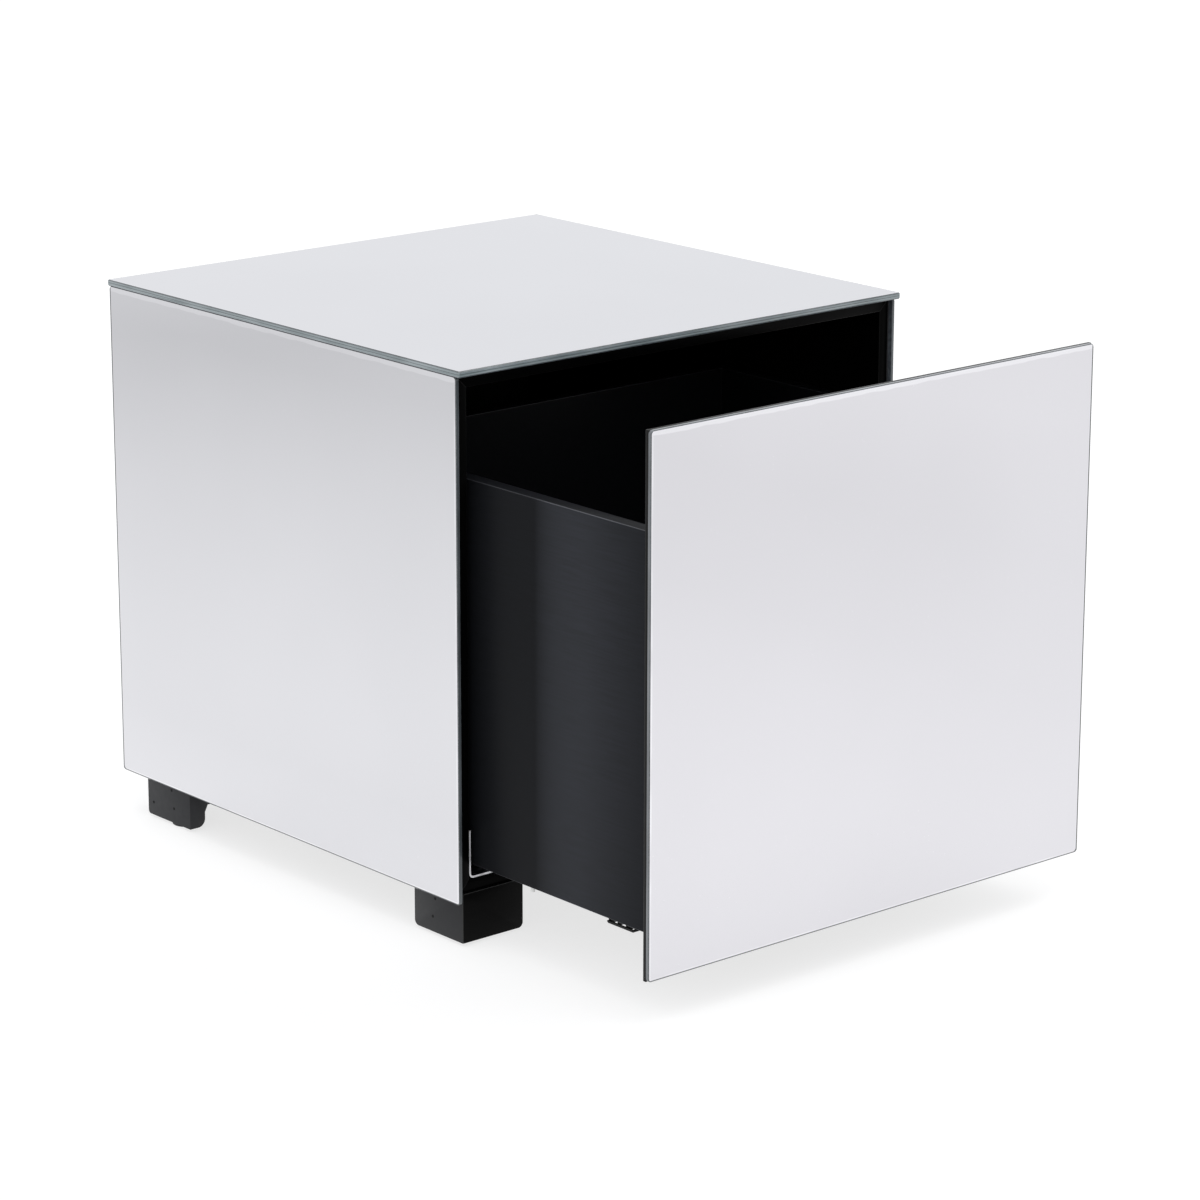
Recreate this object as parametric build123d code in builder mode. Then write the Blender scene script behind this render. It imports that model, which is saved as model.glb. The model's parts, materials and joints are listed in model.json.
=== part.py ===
"""Mirror-clad cube side table with one push-to-open drawer on concealed runners.

Millimetres. +Z is up, -Y is the front, +X is the right side seen from the front. The origin is on
the floor, under the middle of the whole table as it stands with its drawer drawn open.
"""

import os

from build123d import *

os.makedirs("parts", exist_ok=True)

# ---------------------------------------------------------------- driving dimensions
WIDTH = 450.0  # top glass, side to side and front to back
HEIGHT = 447.0
BACK_Y = 330.0  # back edge of the top glass
FRONT_Y = BACK_Y - WIDTH
OPEN_BY = 207.5  # how far the drawer stands open
FOOT_H = 42.0

TOP_GLASS_T = 5.0
SIDE_GLASS_T = 3.0
GLASS_CORNER_R = 3.0
ARRIS = 0.5
TOP_CORNER_R = 1.5
TOP_ARRIS = 0.9
TAPE_T = 1.0
TAPE_W = 20.0
BOARD_T = 9.0
BASE_T = 10.0
BACK_T = 3.0

SIDE_INSET = 1.0  # side mirrors stand this far inside the top glass
FRONT_INSET = 5.0
SKIRT = 8.0  # side mirrors hang this far below the carcass
CARCASS_INSET = 4.0  # carcass boards stand this far behind the side mirrors' front edges

FIT = 0.05  # clearance all round a seated screw, nail, dowel or stud
OVERCUT = 0.5  # how much deeper a hole is than its fastener

# Carcass planes
TOP_Z = HEIGHT - TOP_GLASS_T
MIRROR_X = WIDTH / 2 - SIDE_INSET
SHELL_X = MIRROR_X - SIDE_GLASS_T - TAPE_T
WALL_X = SHELL_X - BOARD_T
SHELL_TOP_Z = TOP_Z - TAPE_T
CEILING_Z = SHELL_TOP_Z - BOARD_T
BASE_Z = FOOT_H
DECK_Z = BASE_Z + BASE_T
SHELL_FRONT_Y = FRONT_Y + FRONT_INSET
CARCASS_FRONT_Y = SHELL_FRONT_Y + CARCASS_INSET
MIRROR_BACK_Y = BACK_Y - SIDE_INSET
SHELL_BACK_Y = MIRROR_BACK_Y - BACK_T

# Drawer
FRONT_PROUD = 2.5  # how far the closed drawer's mirror stands in front of the top glass
FRONT_TOP_GAP = 1.5
DRAWER_FACE_Y = FRONT_Y - FRONT_PROUD - OPEN_BY
FRONT_GLASS_T = 3.0
FRONT_BACKING_T = 3.0
FRONT_HALF_W = 223.5
FRONT_Z0 = BASE_Z - SKIRT
FRONT_Z1 = TOP_Z - FRONT_TOP_GAP
DRAWER_Y0 = DRAWER_FACE_Y + FRONT_GLASS_T + FRONT_BACKING_T
DRAWER_LEN = 390.0
DRAWER_Y1 = DRAWER_Y0 + DRAWER_LEN
DRAWER_BOARD_T = 12.0
DRAWER_EDGE_R = 1.0
DRAWER_OUT_X = 205.0
DRAWER_IN_X = DRAWER_OUT_X - DRAWER_BOARD_T
DRAWER_Z0 = DECK_Z + 9.0
DRAWER_Z1 = DRAWER_Z0 + 300.0
PANEL_Z0 = DRAWER_Z0 + 13.0
PANEL_T = 8.0
GROOVE = 5.0

# Concealed runners. Widths are measured inward from the side wall.
STEEL_T = 1.5
BEND_R = 4.0
THIN_STEEL_T = 1.2
RUNNER_Y0 = CARCASS_FRONT_Y
RUNNER_LEN = 380.0
RAIL_Y0 = -50.0
WALL_LEG_H = 38.0
BASE_LEG_W = 27.0
FRONT_LIP_H = 2.6
RAIL_HEAD_Z1 = DECK_Z + 11.0
RAIL_HEAD_IN1 = 41.0
MIDDLE_LEN = 316.0
MIDDLE_CLOSED_Y0 = -52.0
MIDDLE_IN0 = 23.0
MIDDLE_IN1 = 45.0
MIDDLE_Z0 = DECK_Z + 4.0
MIDDLE_Z1 = DECK_Z + 16.2
MIDDLE_LIP = 4.5
DRAWER_PROFILE_LEN = 372.0
DRAWER_PROFILE_Y0 = DRAWER_Y0 + DRAWER_BOARD_T + 0.5
DRAWER_PROFILE_IN0 = 19.5
DRAWER_PROFILE_IN1 = 48.5
DRAWER_PROFILE_Z0 = DECK_Z + 7.0
CARRIAGE_T = 1.6
ROLLER_W = 12.0
ROLLER_PITCH = 18.0
ROLLER_GAP = 0.3

# Feet
FOOT_LEN = 59.0
FOOT_T = 15.0
FOOT_END_R = 4.5
FOOT_REAR_R = 3.0
FOOT_INNER_R = 7.0
FOOT_FRONT_Y = SHELL_FRONT_Y + 1.0
FOOT_BACK_Y = 299.5
FOOT_BLOCK_W = 16.0
FOOT_BLOCK_TOE = 7.0
FOOT_BLOCK_RISE = 18.5
FOOT_BLOCK_LEN = 30.0
GLIDE_T = 2.5
GLIDE_R = 12.0
GLIDE_EDGE_R = 0.8
NAIL_R = 0.9

SIDES = {"left": -1, "right": 1}


# ---------------------------------------------------------------- helpers
def keep(builder, name):
    """Label a finished piece and write it to its own file."""
    builder.part.label = name
    export_step(builder.part, f"parts/{name}.step")


def slab(low, high, mode=Mode.ADD):
    """A box from one corner to the other, for use inside a part block."""
    size = [top - bottom for bottom, top in zip(low, high)]
    centre = [(top + bottom) / 2 for bottom, top in zip(low, high)]
    with Locations(tuple(centre)):
        Box(*size, mode=mode)


def across(side, inward0, inward1):
    """Sorted X limits of a strip, given its distances in from a side wall."""
    return sorted((side * (WALL_X - inward0), side * (WALL_X - inward1)))


def strip(side, inward, y_span, z_span, mode=Mode.ADD):
    """A box placed by its distances in from a side wall."""
    x0, x1 = across(side, *inward)
    slab((x0, y_span[0], z_span[0]), (x1, y_span[1], z_span[1]), mode=mode)


def rods(points, direction, radius, length, mode=Mode.ADD):
    """Round rods or holes that start at each point and run along one direction."""
    for point in points:
        with BuildSketch(Plane(point, z_dir=direction)) as section:
            Circle(radius)
        extrude(section.sketch, amount=length, mode=mode)


# ---------------------------------------------------------------- mirror panes
def side_pane(name, side):
    """A side mirror: a thin pane with softened corners and a ground arris."""
    with BuildPart() as pane:
        x0, x1 = sorted((side * MIRROR_X, side * (MIRROR_X - SIDE_GLASS_T)))
        slab((x0, SHELL_FRONT_Y, FRONT_Z0), (x1, MIRROR_BACK_Y, TOP_Z))
        fillet(pane.edges().filter_by(Axis.X), GLASS_CORNER_R)
        outer = pane.faces().filter_by(Axis.X).sort_by(Axis.X)[-1 if side > 0 else 0]
        chamfer(outer.edges(), ARRIS)
    keep(pane, name)


with BuildPart() as top_mirror:
    slab((-WIDTH / 2, FRONT_Y, TOP_Z), (WIDTH / 2, BACK_Y, HEIGHT))
    fillet(top_mirror.edges().filter_by(Axis.Z), TOP_CORNER_R)
    chamfer(top_mirror.faces().sort_by(Axis.Z)[-1].edges(), TOP_ARRIS)
keep(top_mirror, "top_mirror")

for side_name, side in SIDES.items():
    side_pane(f"{side_name}_side_mirror", side)

TAPE_ROWS = 4

# Foam tape in strips holds the three panes to the carcass.
with BuildPart() as mirror_tape:
    tape_pitch = (SHELL_BACK_Y - CARCASS_FRONT_Y - TAPE_W) / (TAPE_ROWS - 1)
    for index in range(TAPE_ROWS):
        y0 = CARCASS_FRONT_Y + index * tape_pitch
        slab((-SHELL_X, y0, SHELL_TOP_Z), (SHELL_X, y0 + TAPE_W, TOP_Z))
        for side in SIDES.values():
            x0, x1 = sorted((side * SHELL_X, side * (SHELL_X + TAPE_T)))
            slab((x0, y0, BASE_Z), (x1, y0 + TAPE_W, SHELL_TOP_Z))
keep(mirror_tape, "mirror_tape")


# ---------------------------------------------------------------- carcass
DOWEL_R = 2.0
DOWEL_LEN = 6.4
DOWEL_YS = (-85.0, 50.0, 185.0, 295.0)
BACK_SCREW_R = 1.5
BACK_SCREW_LEN = 14.0
BACK_SCREW_HEAD_R = 3.0
BACK_SCREW_HEAD_T = 1.4
BACK_SCREW_XS = (-130.0, 0.0, 130.0)
BACK_SCREW_RISES = (-120.0, 0.0, 120.0)
LATCH_HALF_W = 14.0
LATCH_Y0 = 288.0
LATCH_Y1 = 318.0
LATCH_TOP_Z = DECK_Z + 54.0
LATCH_FLANGE_T = 3.0
LATCH_FLANGE = 14.0

# The dowels lean at 45 degrees across the mitred corners, square to each mitre face.
MITRES = [(side, rises) for side in (-1, 1) for rises in (-1, 1)]


def mitre_point(side, rises, y):
    """Middle of a mitre face at depth y. rises is 1 at the top corners and -1 at the bottom."""
    x = side * (SHELL_X + WALL_X) / 2
    z = (SHELL_TOP_Z + CEILING_Z) / 2 if rises > 0 else (BASE_Z + DECK_Z) / 2
    return (x, y, z)


def mitre_direction(side, rises):
    """Unit direction square to a mitre face, pointing into the top or bottom board."""
    return Vector(-side, 0, rises).normalized()


def dowels(radius, mode=Mode.ADD):
    for side, rises in MITRES:
        direction = mitre_direction(side, rises)
        half = direction * (DOWEL_LEN / 2)
        starts = [Vector(*mitre_point(side, rises, y)) - half for y in DOWEL_YS]
        rods(starts, direction, radius, DOWEL_LEN, mode=mode)


def back_screw_points():
    """Screw places round the back panel, in the middle of each board's edge."""
    side_x = (SHELL_X + WALL_X) / 2
    top_z = (SHELL_TOP_Z + CEILING_Z) / 2
    base_z = (BASE_Z + DECK_Z) / 2
    middle_z = (top_z + base_z) / 2
    places = [(x, z) for x in BACK_SCREW_XS for z in (base_z, top_z)]
    places += [(s * side_x, middle_z + rise) for s in (-1, 1) for rise in BACK_SCREW_RISES]
    return places


def back_screws(clearance, mode=Mode.ADD):
    for x, z in back_screw_points():
        with BuildSketch(Plane.XZ.offset(-MIRROR_BACK_Y)) as head:
            with Locations((x, z)):
                Circle(BACK_SCREW_HEAD_R + clearance)
        extrude(head.sketch, amount=BACK_SCREW_HEAD_T + clearance, mode=mode)
        with BuildSketch(Plane.XZ.offset(-MIRROR_BACK_Y)) as shank:
            with Locations((x, z)):
                Circle(BACK_SCREW_R + clearance)
        extrude(shank.sketch, amount=BACK_SCREW_LEN + clearance, mode=mode)


def runner_screw_points(side):
    """Three screws through each runner's wall leg into the side board."""
    x = side * (WALL_X - STEEL_T)
    return [(x, y, DECK_Z + RUNNER_SCREW_UP) for y in RUNNER_SCREW_YS]


RUNNER_SCREW_UP = 26.0
RUNNER_SCREW_YS = (-78.0, 82.0, 242.0)
RUNNER_SCREW_R = 2.0
RUNNER_SCREW_HEAD_R = 3.6
RUNNER_SCREW_HEAD_T = 1.6
RUNNER_SCREW_BITE = 6.5
FOOT_SCREW_R = 2.0
FOOT_SCREW_UP = 7.0
FOOT_SCREW_DOWN = 22.0
FOOT_SCREW_HEAD_T = 2.0
FOOT_SCREW_BORE = 2.2  # how much wider the counterbore is than the shank
FOOT_SCREW_RIM = 1.9  # how much wider the head is than the shank
FOOT_SCREW_Z = FOOT_H - FOOT_SCREW_DOWN
LATCH_SCREW_R = 1.75
LATCH_SCREW_BITE = 7.0


def latch_screw_points():
    y = (LATCH_Y0 + LATCH_Y1) / 2
    x = LATCH_HALF_W + LATCH_FLANGE / 2
    return [(-x, y), (x, y)]


# Feet: two boards in an L with a glue block in the corner, at each corner of the base.
FEET = {
    "front_left": (-1, -1),
    "front_right": (1, -1),
    "rear_left": (-1, 1),
    "rear_right": (1, 1),
}


def foot_corner(side, end):
    """Outer corner of a foot."""
    y = FOOT_BACK_Y if end > 0 else FOOT_FRONT_Y
    return side * SHELL_X, y


def foot_screw_point(side, end):
    """Middle of a foot's corner block."""
    x, y = foot_corner(side, end)
    inward = FOOT_T + FOOT_BLOCK_W / 2
    along = FOOT_T + FOOT_BLOCK_LEN / 2
    return x - side * inward, y - end * along


def foot_screws(clearance, z0, z1, mode=Mode.ADD):
    for side, end in FEET.values():
        x, y = foot_screw_point(side, end)
        rods([(x, y, z0)], (0, 0, 1), FOOT_SCREW_R + clearance, z1 - z0, mode=mode)


def board_holes():
    """Cuts every fastener's hole that reaches the carcass board being made."""
    dowels(DOWEL_R + FIT, mode=Mode.SUBTRACT)
    back_screws(FIT, mode=Mode.SUBTRACT)
    for side in SIDES.values():
        rods(
            runner_screw_points(side),
            (side, 0, 0),
            RUNNER_SCREW_R + FIT,
            STEEL_T + RUNNER_SCREW_BITE + OVERCUT,
            mode=Mode.SUBTRACT,
        )


def carcass_board(name, outline):
    """One mitred carcass board, drawn as its end view and run front to back."""
    with BuildPart() as board:
        with BuildSketch(Plane.XZ.offset(-SHELL_BACK_Y)):
            with BuildLine():
                Polyline(*outline, close=True)
            make_face()
        extrude(amount=SHELL_BACK_Y - CARCASS_FRONT_Y)
        board_holes()
        if name == "bottom_board":
            foot_screws(FIT, BASE_Z, BASE_Z + FOOT_SCREW_UP + OVERCUT, mode=Mode.SUBTRACT)
            for x, y in latch_screw_points():
                rods(
                    [(x, y, DECK_Z)],
                    (0, 0, -1),
                    LATCH_SCREW_R + FIT,
                    LATCH_SCREW_BITE + OVERCUT,
                    mode=Mode.SUBTRACT,
                )
    keep(board, name)


carcass_board(
    "top_board",
    [(-SHELL_X, SHELL_TOP_Z), (SHELL_X, SHELL_TOP_Z), (WALL_X, CEILING_Z), (-WALL_X, CEILING_Z)],
)
carcass_board(
    "bottom_board",
    [(-SHELL_X, BASE_Z), (SHELL_X, BASE_Z), (WALL_X, DECK_Z), (-WALL_X, DECK_Z)],
)
for side_name, side in SIDES.items():
    carcass_board(
        f"{side_name}_board",
        [
            (side * SHELL_X, BASE_Z),
            (side * SHELL_X, SHELL_TOP_Z),
            (side * WALL_X, CEILING_Z),
            (side * WALL_X, DECK_Z),
        ],
    )

with BuildPart() as carcass_dowels:
    dowels(DOWEL_R)
keep(carcass_dowels, "carcass_dowels")

with BuildPart() as back_panel:
    slab((-SHELL_X, SHELL_BACK_Y, BASE_Z), (SHELL_X, MIRROR_BACK_Y, SHELL_TOP_Z))
    back_screws(FIT, mode=Mode.SUBTRACT)
keep(back_panel, "back_panel")

with BuildPart() as back_panel_screws:
    back_screws(0.0)
keep(back_panel_screws, "back_panel_screws")


# ---------------------------------------------------------------- feet
NAIL_LEN = 28.0
NAIL_HEAD_R = 1.3
NAIL_HEAD_T = 0.8
CROSS_NAIL_UP = (11.0, 32.0)
BLOCK_NAILS = ((36.5, 12.5), (33.5, 27.5))  # distance along the foot, height above its edge


def foot_nail_points(side, end):
    """Nails through a foot's side board: into the glue block, and at the rear the cross board."""
    x, y = foot_corner(side, end)
    points = [(x, y - end * along, GLIDE_T + up) for along, up in BLOCK_NAILS]
    if end > 0:
        points += [(x, y - end * FOOT_T / 2, GLIDE_T + up) for up in CROSS_NAIL_UP]
    return points


def foot_nails(radius_gap, mode=Mode.ADD):
    """Nails with flat heads, flush with the outside of the feet."""
    for side, end in FEET.values():
        points = foot_nail_points(side, end)
        rods(points, (-side, 0, 0), NAIL_HEAD_R + radius_gap, NAIL_HEAD_T, mode=mode)
        rods(points, (-side, 0, 0), NAIL_R + radius_gap, NAIL_LEN + radius_gap, mode=mode)


def span(start, direction, length):
    """Sorted limits of a run that starts at a value and goes one way."""
    return sorted((start, start + direction * length))


def foot_board(outline):
    """The solid of a foot board, drawn in plan and raised from the glides to the base."""
    with BuildSketch(Plane.XY.offset(GLIDE_T)) as plan:
        with BuildLine():
            Polyline(*outline, close=True)
        make_face()
    extrude(plan.sketch, amount=FOOT_H - GLIDE_T)


def low_edge(board, along, across_axis, last):
    """The board's lower edge that runs along one axis and lies first or last on the other."""
    edges = board.edges().filter_by(along).group_by(Axis.Z)[0]
    return edges.sort_by(across_axis)[-1 if last else 0]


# The front feet are mitred at their corner; at the rear the cross board butts on the side board.
for foot_name, (side, end) in FEET.items():
    corner_x, corner_y = foot_corner(side, end)
    inner_x = corner_x - side * FOOT_T
    inner_y = corner_y - end * FOOT_T
    far_x = corner_x - side * FOOT_LEN
    far_y = corner_y - end * FOOT_LEN
    front = end < 0

    with BuildPart() as foot_side:
        joint = (inner_x, inner_y if front else corner_y)
        foot_board([(corner_x, corner_y), (corner_x, far_y), (inner_x, far_y), joint])
        if front:
            fillet(low_edge(foot_side, Axis.X, Axis.Y, True), FOOT_END_R)
        else:
            fillet(low_edge(foot_side, Axis.Y, Axis.X, side < 0), FOOT_INNER_R)
            fillet(low_edge(foot_side, Axis.X, Axis.Y, True), FOOT_REAR_R)
        foot_nails(FIT, mode=Mode.SUBTRACT)
    keep(foot_side, f"{foot_name}_foot_side")

    with BuildPart() as foot_cross:
        joint = (corner_x if front else inner_x, corner_y)
        foot_board([joint, (far_x, corner_y), (far_x, inner_y), (inner_x, inner_y)])
        fillet(low_edge(foot_cross, Axis.Y, Axis.X, side < 0), FOOT_END_R)
        foot_nails(FIT, mode=Mode.SUBTRACT)
    keep(foot_cross, f"{foot_name}_foot_cross")

# Glue blocks in the feet's corners take the screws from below. Their inner faces taper down.
with BuildPart() as foot_blocks:
    for side, end in FEET.values():
        corner_x, corner_y = foot_corner(side, end)
        y0, y1 = span(corner_y - end * FOOT_T, -end, FOOT_BLOCK_LEN)
        x = corner_x - side * FOOT_T
        toe_x = x - side * FOOT_BLOCK_TOE
        wide_x = x - side * FOOT_BLOCK_W
        rise_z = GLIDE_T + FOOT_BLOCK_RISE
        with BuildSketch(Plane.XZ.offset(-y1)) as end_view:
            with BuildLine():
                Polyline(
                    (x, GLIDE_T),
                    (toe_x, GLIDE_T),
                    (wide_x, rise_z),
                    (wide_x, FOOT_H),
                    (x, FOOT_H),
                    close=True,
                )
            make_face()
        extrude(end_view.sketch, amount=y1 - y0)
    foot_nails(FIT, mode=Mode.SUBTRACT)
    foot_screws(FIT, GLIDE_T, FOOT_H, mode=Mode.SUBTRACT)
    foot_screws(FOOT_SCREW_BORE, GLIDE_T, FOOT_SCREW_Z, mode=Mode.SUBTRACT)
keep(foot_blocks, "foot_blocks")

with BuildPart() as foot_block_screws:
    foot_screws(0.0, FOOT_SCREW_Z, FOOT_H + FOOT_SCREW_UP)
    foot_screws(FOOT_SCREW_RIM, FOOT_SCREW_Z - FOOT_SCREW_HEAD_T, FOOT_SCREW_Z)
keep(foot_block_screws, "foot_screws")

# Glide centres, measured in from a foot's outer faces, by the end they are at.
GLIDE_INSETS = {-1: (24.0, 24.0), 1: (13.0, 36.0)}

with BuildPart() as foot_glides:
    for side, end in FEET.values():
        corner_x, corner_y = foot_corner(side, end)
        inward, along = GLIDE_INSETS[end]
        with Locations((corner_x - side * inward, corner_y - end * along, GLIDE_T / 2)):
            Cylinder(GLIDE_R, GLIDE_T)
    fillet(foot_glides.edges().filter_by(GeomType.CIRCLE).group_by(Axis.Z)[0], GLIDE_EDGE_R)
keep(foot_glides, "foot_glides")

with BuildPart() as foot_nails_part:
    foot_nails(0.0)
keep(foot_nails_part, "foot_nails")


# ---------------------------------------------------------------- concealed runners
def cabinet_profile(name, side):
    """Fixed runner member: an angle on the wall and deck, whose inner edge turns up into a rail."""
    y0, y1 = RUNNER_Y0, RUNNER_Y0 + RUNNER_LEN
    wall = side * WALL_X
    wall_face = side * (WALL_X - STEEL_T)
    inner_edge = side * (WALL_X - BASE_LEG_W)
    leg_top = DECK_Z + WALL_LEG_H
    base_top = DECK_Z + STEEL_T
    with BuildPart() as profile:
        with BuildSketch(Plane.XZ.offset(-y1)):
            with BuildLine():
                FilletPolyline((wall, leg_top), (wall, DECK_Z), (inner_edge, DECK_Z), radius=BEND_R)
                FilletPolyline(
                    (wall_face, leg_top),
                    (wall_face, base_top),
                    (inner_edge, base_top),
                    radius=BEND_R - STEEL_T,
                )
                Line((wall, leg_top), (wall_face, leg_top))
                Line((inner_edge, DECK_Z), (inner_edge, base_top))
            make_face()
        extrude(amount=y1 - y0)
        web = (BASE_LEG_W - STEEL_T, BASE_LEG_W)
        strip(side, web, (y0, RAIL_Y0), (base_top, DECK_Z + FRONT_LIP_H))
        strip(side, web, (RAIL_Y0, y1), (base_top, RAIL_HEAD_Z1))
        head = (BASE_LEG_W - STEEL_T, RAIL_HEAD_IN1)
        strip(side, head, (RAIL_Y0, y1), (RAIL_HEAD_Z1 - STEEL_T, RAIL_HEAD_Z1))
        holes = [(wall, y, z) for x, y, z in runner_screw_points(side)]
        rods(holes, (-side, 0, 0), RUNNER_SCREW_R + FIT, STEEL_T + OVERCUT, mode=Mode.SUBTRACT)
    keep(profile, name)


def middle_profile(name, side):
    """Half-travel member: a channel over the fixed rail, with a lip that hooks under its head."""
    y0 = MIDDLE_CLOSED_Y0 - OPEN_BY / 2
    y_span = (y0, y0 + MIDDLE_LEN)
    inner0 = MIDDLE_IN0 + THIN_STEEL_T
    inner1 = MIDDLE_IN1 - THIN_STEEL_T
    with BuildPart() as profile:
        strip(side, (MIDDLE_IN0, MIDDLE_IN1), y_span, (MIDDLE_Z0, MIDDLE_Z1))
        hollow_z = (MIDDLE_Z0, MIDDLE_Z1 - THIN_STEEL_T)
        strip(side, (inner0, inner1), y_span, hollow_z, mode=Mode.SUBTRACT)
        lip_z = (MIDDLE_Z0, MIDDLE_Z0 + THIN_STEEL_T)
        strip(side, (inner1 - MIDDLE_LIP, inner1), y_span, lip_z)
    keep(profile, name)


# Front clips: each takes the front end of a drawer profile and has a sprung release lever.
CLIP_BACK = 20.0  # how far the clips stand behind the inner front
CLIP_Y0 = DRAWER_Y0 + DRAWER_BOARD_T + CLIP_BACK
CLIP_LEN = 30.0
CLIP_Z0 = DECK_Z + 5.0
CLIP_PLATE_T = 1.7
CLIP_WALL_IN0 = 49.5
CLIP_WALL_IN1 = 53.0
CLIP_TAB_IN1 = 64.0
CLIP_TAB_T = 4.0
CLIP_BAR_IN0 = 7.0
CLIP_BAR_W = 1.6
CLIP_RIB_IN1 = 18.0
CLIP_END_R = 1.6
CLIP_WINDOWS = ((1.8, 5.5), (11.0, 8.0), (20.3, 6.5))  # start and length, from the front end
CLIP_SCREW_INSET = 5.0
CLIP_SCREW_RIM = 1.4
CLIP_SCREW_HEAD_T = 1.2
CLIP_SCREW_R = 1.6
CLIP_SCREW_LEN = 9.0
LEVER_LEN = 12.0
LEVER_Y0 = CLIP_Y0 + (CLIP_LEN - LEVER_LEN) / 2
LEVER_Z0 = DECK_Z + 10.0
LEVER_Z1 = DECK_Z + 13.0
LEVER_TIP_IN = 47.0
PAD_IN0 = 62.0
PAD_IN1 = 65.0
PAD_OVER = 4.0  # how far the pad reaches past the tongue along the drawer
PAD_DOWN = 5.0
PAD_UP = 3.5
LEVER_EDGE_R = 1.0
WINDOW_GAP = 0.6


def lever_window(side, inward):
    """Opening for the release lever's tongue, through one wall."""
    strip(
        side,
        inward,
        (LEVER_Y0 - WINDOW_GAP, LEVER_Y0 + LEVER_LEN + WINDOW_GAP),
        (LEVER_Z0 - WINDOW_GAP, LEVER_Z1 + WINDOW_GAP),
        mode=Mode.SUBTRACT,
    )


def drawer_profile(name, side):
    """Member under the drawer: a channel over the middle member, slotted for the front clip."""
    y_span = (DRAWER_PROFILE_Y0, DRAWER_PROFILE_Y0 + DRAWER_PROFILE_LEN)
    inner0 = DRAWER_PROFILE_IN0 + THIN_STEEL_T
    inner1 = DRAWER_PROFILE_IN1 - THIN_STEEL_T
    with BuildPart() as profile:
        strip(side, (DRAWER_PROFILE_IN0, DRAWER_PROFILE_IN1), y_span, (DRAWER_PROFILE_Z0, PANEL_Z0))
        hollow_z = (DRAWER_PROFILE_Z0, PANEL_Z0 - THIN_STEEL_T)
        strip(side, (inner0, inner1), y_span, hollow_z, mode=Mode.SUBTRACT)
        lever_window(side, (inner1 - OVERCUT, DRAWER_PROFILE_IN1 + OVERCUT))
    keep(profile, name)


def clip_screw_points(side):
    """Screw places under a clip's tab, near its two ends."""
    x = side * (WALL_X - (CLIP_WALL_IN1 + CLIP_TAB_IN1) / 2)
    ys = (CLIP_Y0 + CLIP_SCREW_INSET, CLIP_Y0 + CLIP_LEN - CLIP_SCREW_INSET)
    return [(x, y, PANEL_Z0 - CLIP_TAB_T) for y in ys]


def clip(name, side):
    """Front clip: a plate under the profile's end with a windowed grip, a wall and a screwed tab."""
    y_span = (CLIP_Y0, CLIP_Y0 + CLIP_LEN)
    plate_z = (CLIP_Z0, CLIP_Z0 + CLIP_PLATE_T)
    with BuildPart() as body:
        strip(side, (CLIP_BAR_IN0, CLIP_WALL_IN1), y_span, plate_z)
        strip(side, (CLIP_BAR_IN0 + CLIP_BAR_W, CLIP_RIB_IN1), y_span, (CLIP_Z0, DRAWER_Z0))
        for start, length in CLIP_WINDOWS:
            window_y = (CLIP_Y0 + start, CLIP_Y0 + start + length)
            window_z = (CLIP_Z0, DRAWER_Z0)
            strip(side, (CLIP_BAR_IN0 + CLIP_BAR_W, CLIP_RIB_IN1), window_y, window_z, mode=Mode.SUBTRACT)
        strip(side, (CLIP_WALL_IN0, CLIP_WALL_IN1), y_span, (CLIP_Z0, PANEL_Z0))
        strip(side, (CLIP_WALL_IN0, CLIP_TAB_IN1), y_span, (PANEL_Z0 - CLIP_TAB_T, PANEL_Z0))
        lever_window(side, (CLIP_WALL_IN0 - OVERCUT, CLIP_WALL_IN1 + OVERCUT))
        points = clip_screw_points(side)
        rods(points, (0, 0, 1), CLIP_SCREW_R + FIT, CLIP_TAB_T + OVERCUT, mode=Mode.SUBTRACT)
        ends = body.edges().filter_by(Axis.X).group_by(Axis.Z)[0].group_by(Axis.Y)
        fillet([*ends[0], *ends[-1]], CLIP_END_R)
    keep(body, name)


def clip_lever(name, side):
    """Release lever: a tongue through the clip and the profile's slot, with a finger pad."""
    with BuildPart() as lever:
        tongue_y = (LEVER_Y0, LEVER_Y0 + LEVER_LEN)
        strip(side, (LEVER_TIP_IN, PAD_IN0), tongue_y, (LEVER_Z0, LEVER_Z1))
        pad_y = (LEVER_Y0 - PAD_OVER, LEVER_Y0 + LEVER_LEN + PAD_OVER)
        strip(side, (PAD_IN0, PAD_IN1), pad_y, (LEVER_Z0 - PAD_DOWN, LEVER_Z1 + PAD_UP))
        fillet(lever.edges().filter_by(Axis.X), LEVER_EDGE_R)
    keep(lever, name)


def carriage(name, side, y0, length, z_middle, half_w, roller_r):
    """A roller carriage: a nylon strip with a pocket for each roller, and its rollers."""
    middle_in = (MIDDLE_IN0 + MIDDLE_IN1) / 2
    x_middle = side * (WALL_X - middle_in)
    count = int((length - ROLLER_PITCH) // ROLLER_PITCH) + 1
    first = y0 + (length - (count - 1) * ROLLER_PITCH) / 2
    centres = [(x_middle, first + index * ROLLER_PITCH, z_middle) for index in range(count)]
    with BuildPart() as strip_part:
        low = (x_middle - half_w, y0, z_middle - CARRIAGE_T / 2)
        high = (x_middle + half_w, y0 + length, z_middle + CARRIAGE_T / 2)
        slab(low, high)
        pocket = (ROLLER_W + 2 * ROLLER_GAP, 2 * (roller_r + ROLLER_GAP), 2 * CARRIAGE_T)
        with Locations(*centres):
            Box(*pocket, mode=Mode.SUBTRACT)
    keep(strip_part, name)
    with BuildPart() as rollers:
        with Locations(*centres):
            Cylinder(roller_r, ROLLER_W, rotation=(0, 90, 0))
    keep(rollers, f"{name}_rollers")


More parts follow.
